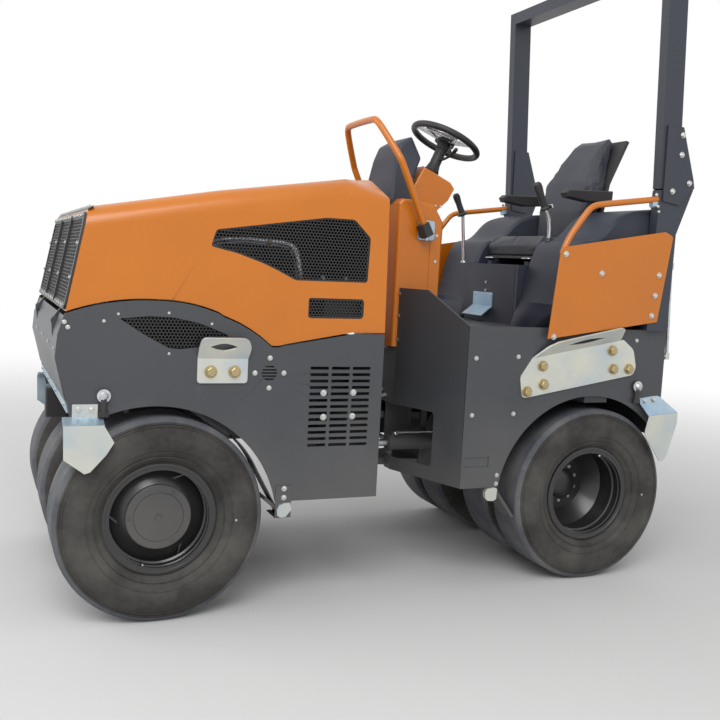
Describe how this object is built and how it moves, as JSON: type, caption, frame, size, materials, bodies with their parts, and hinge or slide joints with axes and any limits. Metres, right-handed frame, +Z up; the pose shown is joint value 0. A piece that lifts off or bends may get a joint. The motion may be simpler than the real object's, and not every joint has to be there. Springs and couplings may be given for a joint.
{
  "type": "pneumatic tyre roller",
  "caption": "Articulated pneumatic tyre roller with front and rear rows of smooth tyres, an open operator's seat, lifting hood and folding roll bar.",
  "frame": {"origin": "on the ground below the middle of the wheelbase, on the machine's centre plane", "axes": "+X to the machine's front, +Y to its left, +Z up"},
  "size_m": [2.7165, 1.352, 2.772],
  "materials": {
    "black_plastic": "moulded black plastic",
    "chassis": "satin grey black paint",
    "mesh": "black expanded mesh",
    "navy_plastic": "moulded navy plastic",
    "orange": "gloss orange paint",
    "plate": "satin dark grey paint",
    "rim": "gloss black paint",
    "roll_bar": "satin dark grey paint",
    "seat_vinyl": "navy vinyl",
    "steel": "bare machined steel",
    "tyre": "smooth tread rubber",
    "zinc": "zinc plated steel"
  },
  "bodies": {
    "rear_frame": {"rear_axle": "chassis", "rear_side_plates": "plate", "bulkhead": "plate", "operator_deck": "plate", "rear_chassis": "chassis", "console": "orange", "steering_column": "black_plastic", "instrument_pod": "navy_plastic", "hoop_rail": "orange", "seat_box": "navy_plastic", "side_mouldings": "navy_plastic", "rear_tank": "navy_plastic", "side_panels": "orange", "side_rails": "orange", "roll_bar_feet": "roll_bar", "rear_lifting_brackets": "zinc", "rear_guards": "zinc", "control_lever": "steel", "foot_plate": "zinc"},
    "centre_joint": {"centre_joint": "chassis"},
    "front_frame": {"front_axle": "chassis", "front_side_plates": "plate", "louvre_panels": "plate", "front_chassis": "chassis", "nose_panel": "plate", "engine_block": "chassis", "front_lifting_brackets": "zinc", "front_guards": "zinc"},
    "hood": {"hood": "orange", "hood_screens": "mesh", "front_grille": "mesh"},
    "front_wheel_left": {"front_tyre_left": "tyre", "front_rim_left": "rim"},
    "front_wheel_centre": {"front_tyre_centre": "tyre", "front_rim_centre": "rim"},
    "front_wheel_right": {"front_tyre_right": "tyre", "front_rim_right": "rim"},
    "rear_wheels_left": {"rear_tyres_left": "tyre", "rear_rim_left": "rim"},
    "rear_wheels_right": {"rear_tyres_right": "tyre", "rear_rim_right": "rim"},
    "steering_barrel": {"steering_barrel": "chassis"},
    "steering_rod": {"steering_rod": "steel"},
    "steering_wheel": {"steering_wheel": "black_plastic"},
    "seat": {"seat_base": "black_plastic", "seat_cushion": "seat_vinyl", "seat_back": "seat_vinyl"},
    "armrest_left": {"armrest_left": "black_plastic"},
    "armrest_right": {"armrest_right": "black_plastic"},
    "roll_bar": {"roll_bar": "roll_bar"}
  },
  "joints": [
    {"name": "articulation", "type": "hinge", "parent": "rear_frame", "child": "centre_joint", "pos_m": [0, 0, 0.56], "axis": [0, 0, 1], "range_deg": [-30, 30]},
    {"name": "frame_swing", "type": "hinge", "parent": "centre_joint", "child": "front_frame", "pos_m": [0.2, 0, 0.56], "axis": [1, 0, 0], "range_deg": [-8, 8]},
    {"name": "hood_lift", "type": "hinge", "parent": "front_frame", "child": "hood", "pos_m": [1.322, 0, 1.098], "axis": [0, 1, 0], "range_deg": [0, 50]},
    {"name": "front_left_roll", "type": "hinge", "parent": "front_frame", "child": "front_wheel_left", "pos_m": [0.9565, 0.5275, 0.385], "axis": [0, 1, 0], "continuous": true},
    {"name": "front_centre_roll", "type": "hinge", "parent": "front_frame", "child": "front_wheel_centre", "pos_m": [0.9565, 0, 0.385], "axis": [0, 1, 0], "continuous": true},
    {"name": "front_right_roll", "type": "hinge", "parent": "front_frame", "child": "front_wheel_right", "pos_m": [0.9565, -0.5275, 0.385], "axis": [0, 1, 0], "continuous": true},
    {"name": "rear_left_roll", "type": "hinge", "parent": "rear_frame", "child": "rear_wheels_left", "pos_m": [-0.9565, 0.38, 0.385], "axis": [0, 1, 0], "continuous": true},
    {"name": "rear_right_roll", "type": "hinge", "parent": "rear_frame", "child": "rear_wheels_right", "pos_m": [-0.9565, -0.38, 0.385], "axis": [0, 1, 0], "continuous": true},
    {"name": "barrel_pivot", "type": "hinge", "parent": "rear_frame", "child": "steering_barrel", "pos_m": [-0.53, 0.2, 0.56], "axis": [0, 0, 1], "range_deg": [-4, 4]},
    {"name": "rod_stroke", "type": "slide", "parent": "steering_barrel", "child": "steering_rod", "axis": [1, 0, 0], "range_m": [-0.105, 0.105]},
    {"name": "steering_turn", "type": "hinge", "parent": "rear_frame", "child": "steering_wheel", "pos_m": [-0.455, 0, 1.965], "axis": [-0.4067, 0, 0.9135], "continuous": true},
    {"name": "seat_slide", "type": "slide", "parent": "rear_frame", "child": "seat", "axis": [1, 0, 0], "range_m": [-0.05, 0.05]},
    {"name": "armrest_left_lift", "type": "hinge", "parent": "seat", "child": "armrest_left", "pos_m": [-1.18, 0.275, 1.735], "axis": [0, -1, 0], "range_deg": [0, 95]},
    {"name": "armrest_right_lift", "type": "hinge", "parent": "seat", "child": "armrest_right", "pos_m": [-1.18, -0.275, 1.735], "axis": [0, -1, 0], "range_deg": [0, 95]},
    {"name": "roll_bar_fold", "type": "hinge", "parent": "rear_frame", "child": "roll_bar", "pos_m": [-1.35, 0.62, 1.784], "axis": [0, -1, 0], "range_deg": [0, 110]}
  ],
  "couplings": [
    {"joint": "barrel_pivot", "follows": "articulation", "ratio": -0.019},
    {"joint": "rod_stroke", "follows": "articulation", "m_per_rad": -0.191}
  ]
}
